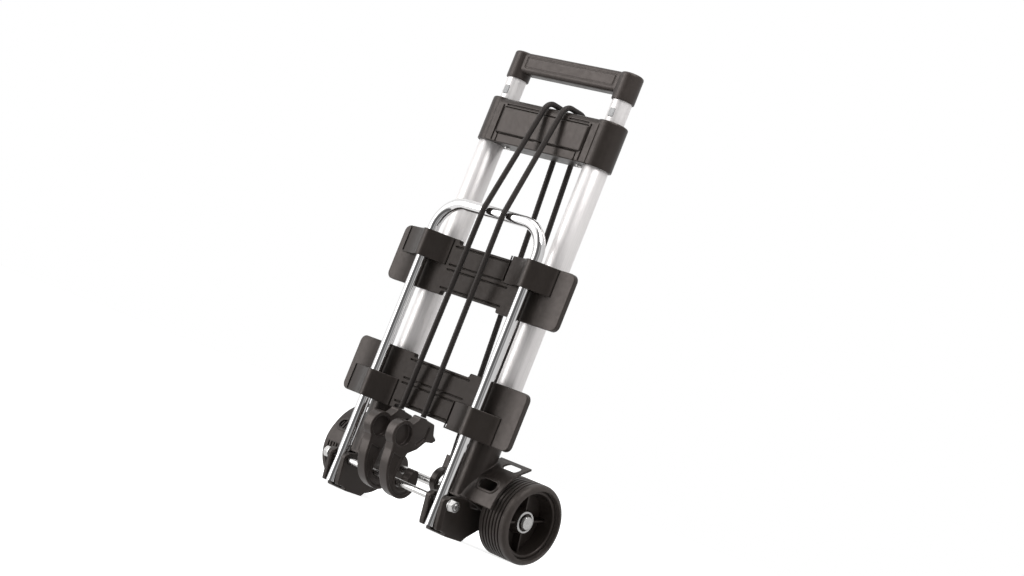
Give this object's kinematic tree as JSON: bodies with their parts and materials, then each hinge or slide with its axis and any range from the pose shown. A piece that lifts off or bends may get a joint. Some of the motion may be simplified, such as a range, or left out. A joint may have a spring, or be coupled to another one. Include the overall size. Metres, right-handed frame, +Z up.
{
  "type": "folding luggage cart",
  "caption": "Folding luggage cart with a telescopic handle, a fold-down toe platform, ribbed wheels and elastic cords with hooks, shown folded.",
  "frame": {"origin": "on the ground, under the middle of the folded cart's bounding box", "axes": "+Z up along the tubes, X along the axle, +Y towards the wheels, -Y the side that the platform folds down to"},
  "size_m": [0.316, 0.1593, 0.5555],
  "materials": {
    "black_plastic": "fine moulded grain, satin",
    "hook_plastic": "moulded, satin",
    "rim_plastic": "moulded, satin",
    "grip_plastic": "soft satin",
    "grey_plastic": "moulded",
    "tube_aluminium": "satin anodised",
    "chrome": "bright plated",
    "steel": "zinc plated",
    "tyre_rubber": "matt ribbed",
    "cord_sheath": "braided"
  },
  "bodies": {
    "frame": {"crosshead": "black_plastic", "crosshead_cover": "black_plastic", "pivot_rod": "steel", "axle": "steel", "outer_tube_left": "tube_aluminium", "guide_bush_left": "grey_plastic", "bracket_left": "black_plastic", "fender_left": "black_plastic", "pivot_nut_left": "steel", "crosshead_screw_left": "steel", "hook_left": "hook_plastic", "cord_anchor_left": "hook_plastic", "cord_left": "cord_sheath", "outer_tube_right": "tube_aluminium", "guide_bush_right": "grey_plastic", "bracket_right": "black_plastic", "fender_right": "black_plastic", "pivot_nut_right": "steel", "crosshead_screw_right": "steel", "hook_right": "hook_plastic", "cord_anchor_right": "hook_plastic", "cord_right": "cord_sheath"},
    "handle": {"grip": "grip_plastic", "inner_tube_left": "tube_aluminium", "inner_tube_right": "tube_aluminium", "tube_foot_left": "grey_plastic", "tube_foot_right": "grey_plastic"},
    "lock_button_left": {"lock_button_left": "grey_plastic"},
    "lock_button_right": {"lock_button_right": "grey_plastic"},
    "platform": {"platform_tube": "chrome", "plate_upper": "black_plastic", "plate_lower": "black_plastic", "tube_clip_upper_left": "black_plastic", "tube_clip_upper_right": "black_plastic", "tube_clip_lower_left": "black_plastic", "tube_clip_lower_right": "black_plastic"},
    "wheel_left": {"tyre_left": "tyre_rubber", "rim_left": "rim_plastic", "wheel_washer_left": "steel", "axle_cap_left": "steel"},
    "wheel_right": {"tyre_right": "tyre_rubber", "rim_right": "rim_plastic", "wheel_washer_right": "steel", "axle_cap_right": "steel"}
  },
  "joints": [
    {"name": "handle_slide", "type": "slide", "parent": "frame", "child": "handle", "axis": [0, 0, 1], "range_m": [0, 0.38]},
    {"name": "platform_fold", "type": "hinge", "parent": "frame", "child": "platform", "pos_m": [0, -0.0442, 0.0345], "axis": [1, 0, 0], "range_deg": [0, 94], "deforming": ["cord_left", "cord_right"]},
    {"name": "lock_button_left_press", "type": "slide", "parent": "handle", "child": "lock_button_left", "axis": [0, 1, 0], "range_m": [0, 0.0022], "stiffness_N_per_m": 300},
    {"name": "lock_button_right_press", "type": "slide", "parent": "handle", "child": "lock_button_right", "axis": [0, 1, 0], "range_m": [0, 0.0022], "stiffness_N_per_m": 300},
    {"name": "wheel_left_spin", "type": "hinge", "parent": "frame", "child": "wheel_left", "pos_m": [-0.135, 0.0337, 0.046], "axis": [1, 0, 0], "continuous": true},
    {"name": "wheel_right_spin", "type": "hinge", "parent": "frame", "child": "wheel_right", "pos_m": [0.135, 0.0337, 0.046], "axis": [1, 0, 0], "continuous": true}
  ]
}
